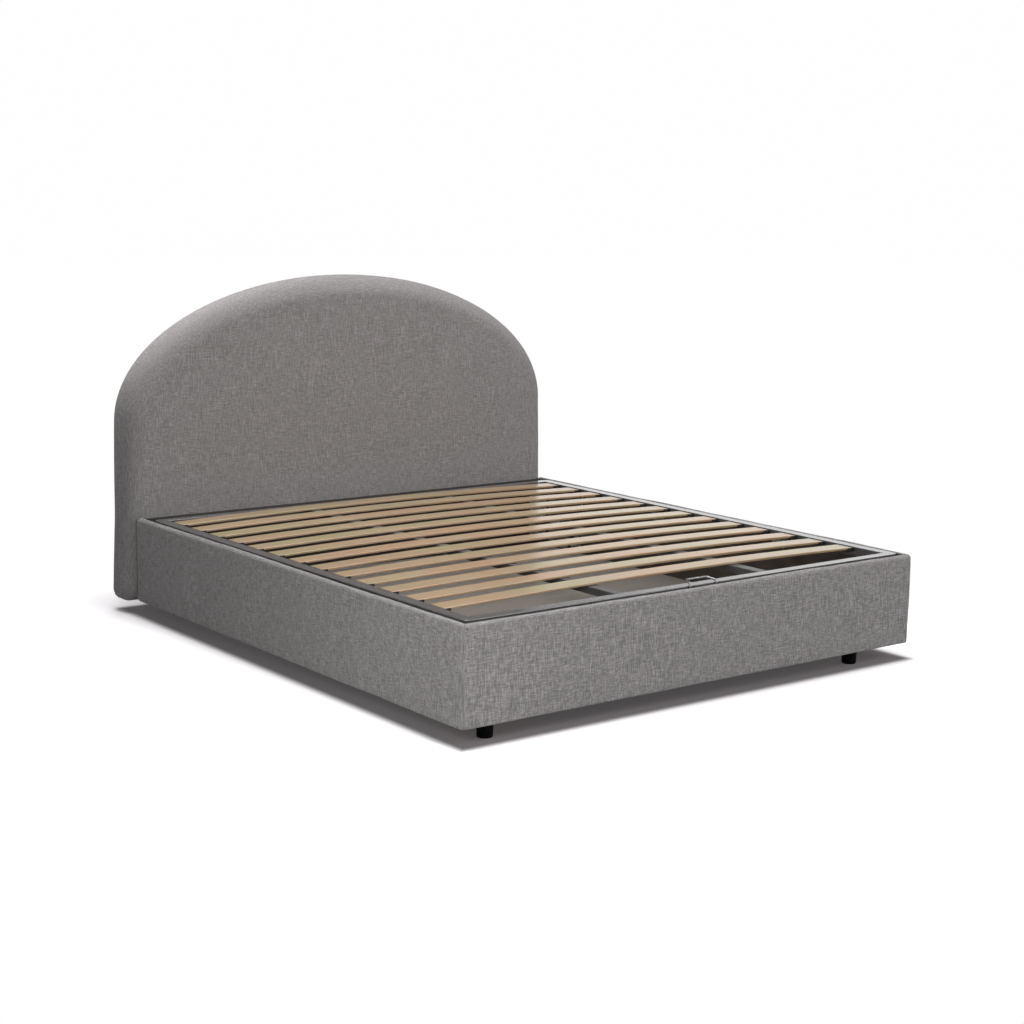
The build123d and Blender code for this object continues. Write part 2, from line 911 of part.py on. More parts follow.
make_rails()
save("head_panel", make_head_panel())
save("corner_brackets", make_corner_brackets())
save("frame_bolts", make_frame_bolts())
save("rest_brackets", make_rest_brackets())
save("rest_pads", make_rest_pads())

save("side_battens", make_side_battens())
save("end_battens", make_end_battens())
save("centre_bearer", make_centre_bearer())
make_floor_boards()
save("foot_plates", make_foot_plates())
save("corner_feet", make_corner_feet())
save("centre_feet", make_centre_feet())

back_board = make_back_board()
headboard_frame = make_headboard_frame()
save("headboard_back_board", back_board)
save("headboard_frame", headboard_frame)
save("headboard_cushion", make_headboard_cushion(back_board, headboard_frame))
save("headboard_bolts", make_headboard_bolts())

make_platform_ring()
for tube_name, tube_share in zip(("left", "right"), inner_tube_shares):
    save("frame_tube_inner_" + tube_name, make_inner_tube(tube_share))
for slat_index in range(slat_count):
    save("slat_%02d" % (slat_index + 1), make_slat(slat_index))
for side_name, side_sign in sides:
    save("slat_trays_" + side_name, make_slat_trays(side_sign))
    save("hinge_bracket_" + side_name, make_hinge_bracket(side_sign))
    save("lift_arm_" + side_name, make_lift_arm(side_sign))
    save("strut_cylinder_" + side_name, make_strut_cylinder(side_sign))
    save("strut_rod_" + side_name, make_strut_rod(side_sign))
save("pull_handle", make_pull_handle())
save("pivot_pins", make_pivot_pins())
save("retaining_rings", make_retaining_rings())
save("strut_base_studs", make_studs(inner_half, bracket_inner, strut_base_y, strut_base_z))
save("strut_tip_studs", make_studs(arm_outer, arm_inner, tip_y, tip_z))

print("hinge", round(pivot_y, 3), round(pivot_z, 3))
print("strut base", round(strut_centre, 3), round(strut_base_y, 3), round(strut_base_z, 3))
print("strut tip", round(tip_y, 3), round(tip_z, 3))
print("strut length closed and open", round(closed_length, 3), round(open_length, 3))
print("strut slot", round(strut_slot, 3))
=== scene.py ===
import math

import bpy
from mathutils import Matrix, Vector, noise


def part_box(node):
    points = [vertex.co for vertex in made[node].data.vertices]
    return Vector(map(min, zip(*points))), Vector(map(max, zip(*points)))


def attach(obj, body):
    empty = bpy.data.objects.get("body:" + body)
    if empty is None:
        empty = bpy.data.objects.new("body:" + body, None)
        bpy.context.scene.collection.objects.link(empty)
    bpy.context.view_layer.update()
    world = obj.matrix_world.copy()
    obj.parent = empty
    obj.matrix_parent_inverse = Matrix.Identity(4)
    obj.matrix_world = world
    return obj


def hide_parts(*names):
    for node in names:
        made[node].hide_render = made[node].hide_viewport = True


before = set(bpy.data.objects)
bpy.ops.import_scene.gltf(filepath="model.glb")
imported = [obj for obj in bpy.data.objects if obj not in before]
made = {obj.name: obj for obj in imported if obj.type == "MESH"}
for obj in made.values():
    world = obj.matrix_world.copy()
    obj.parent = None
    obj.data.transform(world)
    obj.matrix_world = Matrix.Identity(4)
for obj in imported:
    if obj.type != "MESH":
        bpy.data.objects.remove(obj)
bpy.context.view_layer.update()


# Rail boards and head panel
# 16 mm particle board faced in dark brown-grey melamine, mitred at the foot corners
# and held by steel angles, and a bare fibre board that closes the head end, coloured dark brown near black,
# partly as painted shade for the head end.
# Only the inner faces show, down between the slats.

def add_node(tree, kind, sockets=None, **settings):
    """A shader node with its settings made and its sockets set, or linked to other nodes."""
    node = tree.nodes.new("ShaderNode" + kind)
    for name, value in settings.items():
        setattr(node, name, value)
    for name, value in (sockets or {}).items():
        if isinstance(value, bpy.types.NodeSocket):
            tree.links.new(value, node.inputs[name])
        else:
            node.inputs[name].default_value = value
    return node


def new_finish(name, sockets):
    """A material, its node tree and its shader, with the shader's fixed values set."""
    finish = bpy.data.materials.new(name)
    finish.use_nodes = True
    shader = finish.node_tree.nodes["Principled BSDF"]
    for socket, value in sockets.items():
        shader.inputs[socket].default_value = value
    return finish, finish.node_tree, shader


def streaks(tree, across, detail=3.0, rough=0.55, soft=0.0):
    """Noise that repeats about so many times a metre along X, Y and Z of the piece."""
    place = add_node(tree, "TexCoord")
    spread = add_node(tree, "Mapping", {"Vector": place.outputs["Object"], "Scale": across})
    cloud = add_node(tree, "TexNoise", {
        "Vector": spread.outputs["Vector"],
        "Scale": 1.0,
        "Detail": detail,
        "Roughness": rough,
        "Distortion": soft,
    })
    return cloud.outputs["Fac"]


def shade_between(tree, amount, stops):
    """Colours met one after another as amount goes from 0 to 1."""
    ramp = add_node(tree, "ValToRGB", {"Fac": amount})
    for place, (at, colour) in enumerate(stops):
        band = ramp.color_ramp.elements
        stop = band[place] if place < 2 else band.new(at)
        stop.position = at
        stop.color = (*colour, 1.0)
    return ramp.outputs["Color"]


def colour_surface(tree, shader, amount, stops):
    """Sets the base colour by amount, through the colours in stops."""
    tree.links.new(shade_between(tree, amount, stops), shader.inputs["Base Color"])


def raise_surface(tree, shader, height, depth, strength=1.0):
    """Fine relief by height, depth metres deep."""
    bump = add_node(tree, "Bump", {"Height": height, "Distance": depth, "Strength": strength})
    tree.links.new(bump.outputs["Normal"], shader.inputs["Normal"])


def give_finish(names, finish):
    """Puts one material on the named pieces."""
    for name in names:
        for slot in made[name].material_slots:
            slot.material = finish


melamine, tree, shader = new_finish("dark_melamine", {"Roughness": 0.5, "Specular IOR Level": 0.4})
clouding = streaks(tree, (3.0, 3.0, 9.0), 4.0)
colour_surface(tree, shader, clouding, [(0.3, (0.070, 0.055, 0.045)), (0.7, (0.095, 0.076, 0.062))])
raise_surface(tree, shader, streaks(tree, (500.0, 500.0, 500.0), 1.0), 0.0001, 0.4)
give_finish(["foot_board", "side_board_left", "side_board_right"], melamine)

# The head panel's colour is near black: partly the board's own dark brown, partly painted shade for the
# dark band at the head end.
fibre_board_and_shade, tree, shader = new_finish("fibre_board_painted_shade", {"Roughness": 0.75, "Specular IOR Level": 0.3})
colour_surface(tree, shader, streaks(tree, (160.0, 160.0, 160.0), 4.0, 0.7), [
    (0.3, (0.026, 0.022, 0.020)),
    (0.7, (0.045, 0.038, 0.034)),
])
raise_surface(tree, shader, streaks(tree, (400.0, 400.0, 400.0), 3.0), 0.0003, 0.4)
give_finish(["head_panel"], fibre_board_and_shade)


# Corner angles, rest brackets and bolts
# Pressed steel angles, zinc plated, with hexagon-head bolts driven into the boards.
# Rubber pads on the rest brackets carry the platform.

def stretched(tree, value, start, stop, low=0.0, high=1.0, smooth=False):
    """value moved from the span start to stop onto low to high, and held at its ends."""
    return add_node(tree, "MapRange", {
        "Value": value,
        "From Min": start,
        "From Max": stop,
        "To Min": low,
        "To Max": high,
    }, interpolation_type="SMOOTHSTEP" if smooth else "LINEAR").outputs["Result"]


def vary_roughness(tree, shader, amount, low, high):
    """Sets the roughness between low and high by amount."""
    tree.links.new(stretched(tree, amount, 0.0, 1.0, low, high), shader.inputs["Roughness"])


zinc, tree, shader = new_finish("zinc_plate", {"Metallic": 0.9, "Specular IOR Level": 0.5})
spangle = streaks(tree, (60.0, 60.0, 60.0), 4.0, 0.6)
colour_surface(tree, shader, spangle, [(0.3, (0.40, 0.41, 0.42)), (0.7, (0.60, 0.61, 0.62))])
vary_roughness(tree, shader, spangle, 0.25, 0.45)
raise_surface(tree, shader, streaks(tree, (900.0, 900.0, 60.0), 2.0), 0.00005, 0.5)
give_finish(["corner_brackets", "rest_brackets", "frame_bolts", "headboard_bolts"], zinc)

pad_rubber, tree, shader = new_finish("pad_rubber", {"Roughness": 0.85})
rubbing = streaks(tree, (120.0, 120.0, 120.0))
colour_surface(tree, shader, rubbing, [(0.3, (0.012,) * 3), (0.7, (0.025,) * 3)])
raise_surface(tree, shader, streaks(tree, (700.0, 700.0, 700.0), 2.0), 0.0002, 0.5)
give_finish(["rest_pads"], pad_rubber)


# Battens, bearer and storage floor
# Planed softwood battens and a steel bearer carry four thin boards, faced in
# mid grey with a fine embossed grain. The boards are laid in loose.

def worked_out(tree, operation, *values):
    """The outcome of one step of arithmetic on shader values."""
    return add_node(tree, "Math", dict(enumerate(values)), operation=operation).outputs[0]


def mixed(tree, amount, first, second, kind="FLOAT"):
    """first where amount is 0, second where it is 1; kind is RGBA for colours."""
    return add_node(tree, "Mix", {
        "Factor": amount,
        "A": first,
        "B": second,
    }, data_type=kind).outputs["Result"]


softwood, tree, shader = new_finish("planed_softwood", {"Roughness": 0.6, "Specular IOR Level": 0.35})
rings_per_cloud = 9.0
rings = worked_out(tree, "MULTIPLY", streaks(tree, (14.0, 14.0, 14.0), 2.0, 0.5, 0.8), rings_per_cloud)
bands = worked_out(tree, "FRACT", rings)
fibres = mixed(tree, 0.35, bands, streaks(tree, (240.0, 240.0, 240.0), 4.0))
colour_surface(tree, shader, fibres, [
    (0.15, (0.40, 0.24, 0.12)),
    (0.5, (0.56, 0.38, 0.21)),
    (0.85, (0.66, 0.47, 0.28)),
])
raise_surface(tree, shader, fibres, 0.0003, 0.3)
give_finish(["side_battens", "end_battens", "foot_plates", "headboard_frame"], softwood)

floor_face, tree, shader = new_finish("storage_floor_face", {"Roughness": 0.28, "Specular IOR Level": 0.5})
colour_surface(tree, shader, streaks(tree, (5.0, 40.0, 40.0), 5.0, 0.6), [
    (0.25, (0.31, 0.282, 0.258)),
    (0.75, (0.40, 0.364, 0.334)),
])
raise_surface(tree, shader, streaks(tree, (150.0, 900.0, 900.0), 3.0), 0.0002, 0.4)
give_finish([name for name in made if name.startswith("floor_board")], floor_face)


# Feet
# Turned black plastic feet on threaded stems, one under each corner and two
# under the bearer.

foot_plastic, tree, shader = new_finish("foot_plastic", {"Specular IOR Level": 0.04})
scuffs = streaks(tree, (90.0, 90.0, 30.0), 5.0, 0.7)
colour_surface(tree, shader, scuffs, [(0.35, (0.0015,) * 3), (0.75, (0.0035,) * 3)])
vary_roughness(tree, shader, scuffs, 0.35, 0.6)
raise_surface(tree, shader, streaks(tree, (1200.0, 1200.0, 1200.0), 1.0), 0.0001, 0.5)
give_finish(["corner_feet", "centre_feet"], foot_plastic)


# Headboard back board
# A sheet of dark faced board screwed to the timber frame behind the padding.

give_finish(["headboard_back_board"], melamine)


# Headboard padding
# Thick foam over the timber frame, covered in one piece of heathered grey linen
# weave that is pulled round a wide soft edge and turned in behind the back board.

linen, tree, shader = new_finish("heathered_linen", {
    "Roughness": 0.9,
    "Specular IOR Level": 0.15,
    "Sheen Weight": 0.06,
    "Sheen Roughness": 0.45,
    "Sheen Tint": (0.80, 0.79, 0.78, 1.0),
})
facing = add_node(tree, "SeparateXYZ", {"Vector": add_node(tree, "TexCoord").outputs["Normal"]})


def facing_along(axis):
    """1 where the cloth faces along that axis, 0 where it faces across it."""
    size = worked_out(tree, "ABSOLUTE", facing.outputs[axis])
    return stretched(tree, size, 0.45, 0.85, smooth=True)


def thread_pair(short, long, detail):
    """Upright and level threads, laid along whichever axes the cloth lies on there."""
    along_x = streaks(tree, (long, short, short), detail, 0.6)
    along_y = streaks(tree, (short, long, short), detail, 0.6)
    along_z = streaks(tree, (short, short, long), detail, 0.6)
    upright = mixed(tree, facing_along("Z"), along_z, along_y)
    level = mixed(tree, facing_along("X"), along_x, along_y)
    return upright, level


def thin_line(threads):
    """1 along the middle of each thread, 0 between them."""
    apart = worked_out(tree, "ABSOLUTE", worked_out(tree, "SUBTRACT", threads, 0.5))
    return stretched(tree, apart, 0.0, 0.055, 1.0, 0.0)


slub_up, slub_level = thread_pair(500.0, 36.0, 1.0)
yarn_up, yarn_level = thread_pair(900.0, 110.0, 1.0)
slubs = mixed(tree, 0.45, slub_up, slub_level)
yarns = mixed(tree, 0.5, yarn_up, yarn_level)
fine_up, fine_level = thread_pair(360.0, 20.0, 0.0)
dark_lines = mixed(tree, 0.42, thin_line(fine_up), thin_line(fine_level))
line_darkening, middle_shade = -0.055, 0.475
weave = worked_out(tree, "MULTIPLY_ADD", dark_lines, line_darkening, mixed(tree, 0.30, slubs, yarns))
on_bed = add_node(tree, "SeparateXYZ", {"Vector": add_node(tree, "TexCoord").outputs["Object"]})
calming = stretched(tree, on_bed.outputs["Y"], -1.0, 0.95, 0.0, 0.30)
colour_surface(tree, shader, mixed(tree, calming, weave, middle_shade), [
    (0.34, (0.107, 0.101, 0.100)),
    (0.44, (0.176, 0.167, 0.166)),
    (0.50, (0.227, 0.216, 0.214)),
    (0.62, (0.39, 0.372, 0.369)),
])
raise_surface(tree, shader, mixed(tree, 0.6, slubs, yarns), 0.0010, 0.45)

pad_low, pad_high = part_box("headboard_cushion")
front, back = pad_low.y, pad_high.y
half_foot = pad_high.x
flare = 0.014
half_shoulder = half_foot - flare
shoulder_z = 0.711
face_middle = Vector((0.0, 0.0, 0.60))
corner_across, across_loss, least_across = 0.030, 0.30, 0.006
corner_up, up_loss, least_up = 0.042, 0.45, 0.008
foot_steps, side_steps, arch_steps = 34, 26, 60
soft_edge, soft_edge_wide = 0.068, 0.084
back_edge, back_edge_wide = 0.017, 0.034
widening_from, widening_over = 0.45, 0.45
face_swell, swell_from, swell_over = 0.005, 0.46, 0.3
face_shares = (0.04, 0.12, 0.22, 0.32, 0.42, 0.52, 0.62, 0.71, 0.79, 0.86, 0.92, 0.965)
turned_in, turned_depths = 0.003, (0.0012, 0.02)
tucked_in, inside_hem, inside_step = 0.0213, 0.03, 0.012
foam_front = 0.0575
waist_depth, waist_z, waist_reach = 0.003, 0.38, 0.12
waist_from, waist_over, waist_beyond = 0.03, 0.05, 0.9


def eased(most, amount):
    """0 to most as amount goes from 0 to 1, starting and ending softly."""
    amount = min(max(amount, 0.0), 1.0)
    return most * amount * amount * (3 - 2 * amount)


def arch_ring(inset):
    """Points (x, z) once round the headboard at one distance in from its edge."""
    low = pad_low.z + inset
    across = max(corner_across - across_loss * inset, least_across)
    up = max(corner_up - up_loss * inset, least_up)

    def side(z):
        return half_shoulder - inset + flare * ((shoulder_z - z) / (shoulder_z - low)) ** 2

    corner_x = side(low + up)
    half = [((corner_x - across) * step / foot_steps, low) for step in range(foot_steps)]
    for step in range(10):
        turn = math.radians(9 * step)
        half.append((corner_x - across * (1 - math.sin(turn)), low + up * (1 - math.cos(turn))))
    for step in range(side_steps):
        z = low + up + (shoulder_z - low - up) * step / side_steps
        half.append((side(z), z))
    for step in range(arch_steps + 1):
        turn = math.radians(90 / arch_steps * step)
        half.append((
            (half_shoulder - inset) * math.cos(turn),
            shoulder_z + (pad_high.z - shoulder_z - inset) * math.sin(turn),
        ))
    other = [(-x, z) for x, z in half[1:-1]]
    return half + other[::-1]


def edge_points(depth, run, narrow, wide):
    """One ring round the headboard's edge, whose rounding widens from the sides to the arch."""
    rim, inner = arch_ring(0.0), arch_ring(soft_edge)
    points = []
    for (x, z), (inner_x, inner_z) in zip(rim, inner):
        radius = narrow + eased(wide - narrow, (z - widening_from) / widening_over)
        share = radius * depth / soft_edge
        points.append((x + (inner_x - x) * share, radius * run, z + (inner_z - z) * share))
    return points


def closed_skin(name, rings, sewn=False):
    """One closed mesh through rings of points, its ends closed round a point; sewn ends stay crisp."""
    points = [Vector(p) for ring in rings for p in ring]
    count = len(rings[0])
    faces = []
    for row in range(len(rings) - 1):
        for step in range(count):
            after = (step + 1) % count
            faces.append((
                row * count + step,
                row * count + after,
                (row + 1) * count + after,
                (row + 1) * count + step,
            ))
    for row, turned in ((0, True), (len(rings) - 1, False)):
        middle = len(points)
        points.append(sum((Vector(p) for p in rings[row]), Vector()) / count)
        for step in range(count):
            pair = (row * count + step, row * count + (step + 1) % count)
            faces.append((*(pair if not turned else pair[::-1]), middle))
    mesh = bpy.data.meshes.new(name)
    mesh.from_pydata(points, [], faces)
    mesh.validate()
    mesh.polygons.foreach_set("use_smooth", [not sewn or len(face.vertices) == 4 for face in mesh.polygons])
    piece = bpy.data.objects.new(name, mesh)
    bpy.context.scene.collection.objects.link(piece)
    return piece


def headboard_rings():
    """Rings from the middle of the face, round the soft edge and over the back to its inside."""
    rings = []
    face = edge_points(1.0, 0.0, soft_edge, soft_edge_wide)
    for share in face_shares:
        swell = face_swell * (1 - share ** 3)
        ring = []
        for x, _, z in face:
            x, z = x * share, face_middle.z + (z - face_middle.z) * share
            ring.append((x, front - eased(swell, (z - swell_from) / swell_over), z))
        rings.append(ring)
    for step in range(13):
        turn = math.radians(7.5 * step)
        ring = edge_points(1 - math.sin(turn), 1 - math.cos(turn), soft_edge, soft_edge_wide)
        rings.append([(x, front + run, z) for x, run, z in ring])
    ends = [
        ((x, front + run, z), (x, back - back_run, z))
        for (x, run, z), (_, back_run, _) in zip(
            edge_points(0.0, 1.0, soft_edge, soft_edge_wide),
            edge_points(0.0, 1.0, back_edge, back_edge_wide),
        )
    ]
    for share in (0.33, 0.67):
        rings.append([Vector(near).lerp(Vector(far), share) for near, far in ends])
    for step in range(9):
        turn = math.radians(11.25 * step)
        ring = edge_points(1 - math.cos(turn), 1 - math.sin(turn), back_edge, back_edge_wide)
        rings.append([(x, back - run, z) for x, run, z in ring])
    turned = edge_points(1.0, 0.0, back_edge + turned_in, back_edge_wide + turned_in)
    for deep in turned_depths:
        rings.append([(x, back - deep, z) for x, _, z in turned])
    rings.append([(x, front + foam_front + inside_step, z) for x, _, z in turned])
    inside = arch_ring(tucked_in + inside_hem)
    rings.append([(x, front + foam_front, z) for x, z in inside])
    for share in (0.8, 0.5, 0.2):
        rings.append([
            (x * share, front + foam_front, face_middle.z + (z - face_middle.z) * share)
            for x, z in inside
        ])
    return rings


wide_hollow, wide_per_metre = 0.0016, 5.0
small_hollow, small_per_metre, small_shift = 0.0004, 17.0, Vector((3, 7, 1))
rail_height, frame_height = 0.42, 1.0
edge_band, face_band = 0.03, 0.02


def settle_cloth(piece, keep_off):
    """Small hollows and swells of cloth over foam; where keep_off is true it only sinks."""
    normals = [vertex.normal.copy() for vertex in piece.data.vertices]
    for vertex, normal in zip(piece.data.vertices, normals):
        place = vertex.co
        wide = wide_hollow * noise.noise(place * wide_per_metre)
        small = small_hollow * noise.noise(place * small_per_metre + small_shift)
        swell = wide + small
        if keep_off(place, normal):
            swell = -abs(swell) * 0.5
        vertex.co = place + normal * swell


def meets_wood(place, normal):
    """True where the padding lies on the rails, the back board or the timber frame."""
    on_rails = place.z < rail_height and normal.y < -0.2
    on_back_board = place.y > back - edge_band
    within_frame = abs(place.x) < half_foot - edge_band and place.z < frame_height
    on_frame = within_frame and place.y > front + face_band
    return on_rails or on_back_board or on_frame


padding = closed_skin("headboard_padding", headboard_rings())
for vertex in padding.data.vertices:
    depth = min(max((vertex.co.y - front - waist_from) / waist_over, 0.0), 1.0)
    waist = math.exp(-((vertex.co.z - waist_z) / waist_reach) ** 2) * depth
    if abs(vertex.co.x) > waist_beyond:
        vertex.co.x -= math.copysign(waist_depth * waist, vertex.co.x)
settle_cloth(padding, meets_wood)
padding.data.materials.append(linen)
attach(padding, "bed_base")
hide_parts("headboard_cushion")


# Rail covers
# Thin foam and the same linen over each rail board: down the outer face, over
# the top edge and under the bottom edge, and sewn at the two foot corners.

cover_low, cover_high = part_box("foot_cover")
half_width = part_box("side_cover_right")[1].x
foot_y = cover_low.y
rail_low, rail_top = cover_low.z, cover_high.z
head_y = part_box("side_cover_left")[1].y
rail_depth = 0.020
face_foam, crown_foam, hem_foam = 0.004, 0.006, 0.002
board_top = rail_top - crown_foam
board_low = rail_low + hem_foam
corner_turn = 0.018
crown_round, crown_loss, edge_round = 0.0145, 1.6, 0.004
face_bulge = 0.0010
off_board = 0.0003
seam_pinches = ((45, 0.0012), (43, 0.0008), (40, 0.0003), (35, 0), (28, 0), (20, 0), (10, 0), (0, 0))
steps_along = 90
end_round, end_draw = 0.006, 0.0036
apart_at_mitre = 0.00002
thin_reach = 0.55
top_wave, waves_per_metre = 0.0009, 9


def cover_profile(pinch, sunk):
    """Points (inward, z) round the cover's section, drawn in at a seam and sunk where the foam is thin."""
    top, low = rail_top - pinch - sunk, rail_low + pinch * 0.5
    inner_round = edge_round * (1 - sunk / crown_foam)
    points = [(rail_depth, board_top + off_board), (rail_depth, top - inner_round)]
    for step in range(1, 5):
        turn = math.radians(22.5 * step)
        points.append((
            rail_depth - inner_round * (1 - math.cos(turn)),
            top - inner_round * (1 - math.sin(turn)),
        ))
    crown = min(crown_round, crown_round + seam_pinches[0][1] - pinch) - crown_loss * sunk
    for step in range(9):
        turn = math.radians(11.25 * step)
        points.append((pinch + crown * (1 - math.sin(turn)), top - crown * (1 - math.cos(turn))))
    for step in range(1, 16):
        share = step / 16
        z = top - crown + (low + edge_round - top + crown) * share
        points.append((pinch - face_bulge * math.sin(math.pi * share) ** 0.7, z))
    for step in range(5):
        turn = math.radians(22.5 * step)
        points.append((
            pinch + edge_round * (1 - math.cos(turn)),
            low + edge_round * (1 - math.sin(turn)),
        ))
    return points + [
        (rail_depth, low),
        (rail_depth, board_low - off_board),
        (face_foam - off_board, board_low - off_board),
        (face_foam - off_board, board_top + off_board),
    ]


def cover_rings(length, sewn_far_end, thin_foam):
    """Sections from the mitred corner to the far end, as (along, inward, z)."""
    stations = [("near", math.radians(turn), pinch) for turn, pinch in seam_pinches]
    stations += [("run", step / steps_along, 0) for step in range(1, steps_along)]
    if sewn_far_end:
        stations += [("far", math.radians(turn), pinch) for turn, pinch in reversed(seam_pinches)]
    else:
        for turn in (0, 22, 45, 67, 90):
            turn = math.radians(turn)
            stations.append(("end", end_round * (1 - math.sin(turn)), end_draw * (1 - math.cos(turn))))
    rings = []
    for kind, at, pinch in stations:
        ring = []
        reach = at if kind == "run" else float(kind != "near")
        sunk = thin_foam * math.exp(-(reach / thin_reach) ** 2)
        for inward, z in cover_profile(pinch, sunk):
            start = max(inward, corner_turn)
            stop = length - start if sewn_far_end else length
            if kind == "run":
                ring.append((start + at * (stop - start), inward, z))
                continue
            if kind == "end":
                ring.append((length - at, inward, z))
                continue
            left = max(corner_turn - inward, 0.0)
            if left:
                along = corner_turn - left * math.sin(at)
                deep = corner_turn - left * math.cos(at)
            else:
                along = inward + apart_at_mitre * (45 - math.degrees(at))
                deep = inward
            if kind == "far":
                along = length - along
            ring.append((along, deep, z))
        rings.append(ring)
    return rings


def make_cover(name, node, corner, run, inward, length, sewn_far_end, thin_foam=0.0):
    """One cover laid from a corner of the bed along run, its depth towards inward.

    thin_foam says how much lower its top lies at that corner than further along.
    """
    rings = [
        [corner + run * along + inward * deep + Vector((0, 0, z)) for along, deep, z in ring]
        for ring in cover_rings(length, sewn_far_end, thin_foam)
    ]
    if run.cross(inward).z < 0:
        rings = [ring[::-1] for ring in rings]
    piece = closed_skin(name, rings, sewn=True)
    outward = -inward

    def hidden(place, normal):
        """True on the inside and under the board."""
        return normal.dot(outward) < 0.15 and normal.z < 0.5

    for vertex in piece.data.vertices:
        place = vertex.co
        if place.z > board_top:
            spot = Vector((place.x * waves_per_metre, place.y * waves_per_metre, 2.0))
            vertex.co.z += top_wave * noise.noise(spot)
    settle_cloth(piece, hidden)
    piece.data.materials.append(linen)
    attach(piece, "bed_base")
    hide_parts(node)


left_corner = Vector((-half_width, foot_y, 0))
right_corner = Vector((half_width, foot_y, 0))
across, along_bed = Vector((1, 0, 0)), Vector((0, 1, 0))
thinned = 0.004
# The side covers stop this far short of the headboard, so the bare dark board shows in the gap as painted
# shade for the crease there.
crease_shade_gap = 0.014
side_length = head_y - foot_y - crease_shade_gap
make_cover(
    "foot_rail_cover", "foot_cover",
    left_corner, across, along_bed, 2 * half_width, sewn_far_end=True, thin_foam=thinned,
)
make_cover(
    "left_rail_cover", "side_cover_left",
    left_corner, along_bed, across, side_length, sewn_far_end=False, thin_foam=thinned,
)
make_cover(
    "right_rail_cover", "side_cover_right",
    right_corner, along_bed, -across, side_length, sewn_far_end=False,
)


# Platform frame and lift arms
# Flat steel tube, mitred and welded into a ring with two inner tubes and a plate
# under each side tube, then powder coated in glossy dark grey. The coat on the
# inner tubes is duller.

powder_coat, tree, shader = new_finish("grey_powder_coat", {
    "Roughness": 0.24,
    "Specular IOR Level": 0.6,
    "Coat Weight": 1.0,
    "Coat Roughness": 0.08,
    "Coat IOR": 1.6,
})
mottle = streaks(tree, (25.0, 25.0, 25.0), 4.0)
colour_surface(tree, shader, mottle, [(0.3, (0.055, 0.053, 0.053)), (0.7, (0.075, 0.072, 0.072))])
raise_surface(tree, shader, streaks(tree, (800.0, 800.0, 800.0), 2.0), 0.00008, 0.35)
give_finish([name for name in made if name.startswith(("frame_tube", "lift_arm"))], powder_coat)
give_finish(["centre_bearer"], powder_coat)

dull_coat = powder_coat.copy()
dull_coat.name = "dull_powder_coat"
shader = dull_coat.node_tree.nodes["Principled BSDF"]
shader.inputs["Coat Weight"].default_value = 0.25
shader.inputs["Roughness"].default_value = 0.42
give_finish(["frame_tube_inner_left", "frame_tube_inner_right"], dull_coat)


# Slat trays
# Black nylon trays that hold the slat ends, riveted to the side tubes.

tray_nylon, tree, shader = new_finish("tray_nylon", {"Roughness": 0.5, "Specular IOR Level": 0.4})
scuffs = streaks(tree, (70.0, 70.0, 70.0))
colour_surface(tree, shader, scuffs, [(0.3, (0.008,) * 3), (0.7, (0.018,) * 3)])
raise_surface(tree, shader, streaks(tree, (1000.0, 1000.0, 1000.0), 1.0), 0.0001, 0.5)
give_finish(["slat_trays_left", "slat_trays_right"], tray_nylon)


# Slats
# Thirteen bowed slats of glued beech veneers with softened edges and a clear
# satin lacquer. Their ends lie in the trays.

beech, tree, shader = new_finish("lacquered_beech", {
    "Roughness": 0.38,
    "Specular IOR Level": 0.7,
    "Coat Weight": 0.9,
    "Coat Roughness": 0.22,
    "Coat IOR": 1.8,
})
fibre = streaks(tree, (3.0, 170.0, 170.0), 5.0, 0.62, 0.3)
flecks = streaks(tree, (60.0, 900.0, 900.0), 2.0)
each_slat = streaks(tree, (0.15, 7.3, 0.0), 1.0)
figure = mixed(tree, 0.3, mixed(tree, 0.25, fibre, flecks), each_slat)
veneer = shade_between(tree, figure, [
    (0.30, (0.250, 0.158, 0.078)),
    (0.45, (0.360, 0.250, 0.134)),
    (0.60, (0.450, 0.325, 0.190)),
    (0.75, (0.540, 0.412, 0.258)),
])
tones = streaks(tree, (2.6, 9.0, 9.0), 2.0, 0.5)
warm_wood = (0.415, 0.252, 0.128, 1.0)
green_wood = (0.345, 0.275, 0.125, 1.0)
glued_edge = (0.30, 0.180, 0.095, 1.0)
veneer = mixed(tree, stretched(tree, tones, 0.50, 0.66), veneer, warm_wood, "RGBA")
veneer = mixed(tree, stretched(tree, tones, 0.50, 0.34), veneer, green_wood, "RGBA")
bow_per_metre, ply = 0.0171, 0.0016
on_slat = add_node(tree, "SeparateXYZ", {"Vector": add_node(tree, "TexCoord").outputs["Object"]})
bow = worked_out(tree, "MULTIPLY", worked_out(tree, "POWER", on_slat.outputs["X"], 2.0), bow_per_metre)
layer = worked_out(tree, "DIVIDE", worked_out(tree, "ADD", on_slat.outputs["Z"], bow), ply)
layer = worked_out(tree, "PINGPONG", layer, 1.0)
edge_on = add_node(tree, "SeparateXYZ", {"Vector": add_node(tree, "TexCoord").outputs["Normal"]})
edge_on = worked_out(tree, "ABSOLUTE", edge_on.outputs["Y"])
veneer = mixed(tree, worked_out(tree, "MULTIPLY", layer, edge_on), veneer, glued_edge, "RGBA")
tree.links.new(veneer, shader.inputs["Base Color"])
raise_surface(tree, shader, fibre, 0.0003, 0.35)
give_finish(
    [name for name in made if name.startswith("slat_") and not name.startswith("slat_trays")],
    beech,
)


# Pull handle
# A loop of bright round rod, bent to lean over the foot tube and welded to its
# front face.

bright_rod, tree, shader = new_finish("bright_rod", {"Metallic": 0.85, "Specular IOR Level": 0.5})
drawn = streaks(tree, (300.0, 300.0, 300.0), 3.0)
colour_surface(tree, shader, drawn, [(0.3, (0.22, 0.22, 0.225)), (0.7, (0.32, 0.32, 0.325))])
vary_roughness(tree, shader, drawn, 0.2, 0.36)
give_finish(["pull_handle"], bright_rod)


# Hinge brackets, pins and studs
# Zinc plated plates bolted inside the side rails, with turned steel pins.

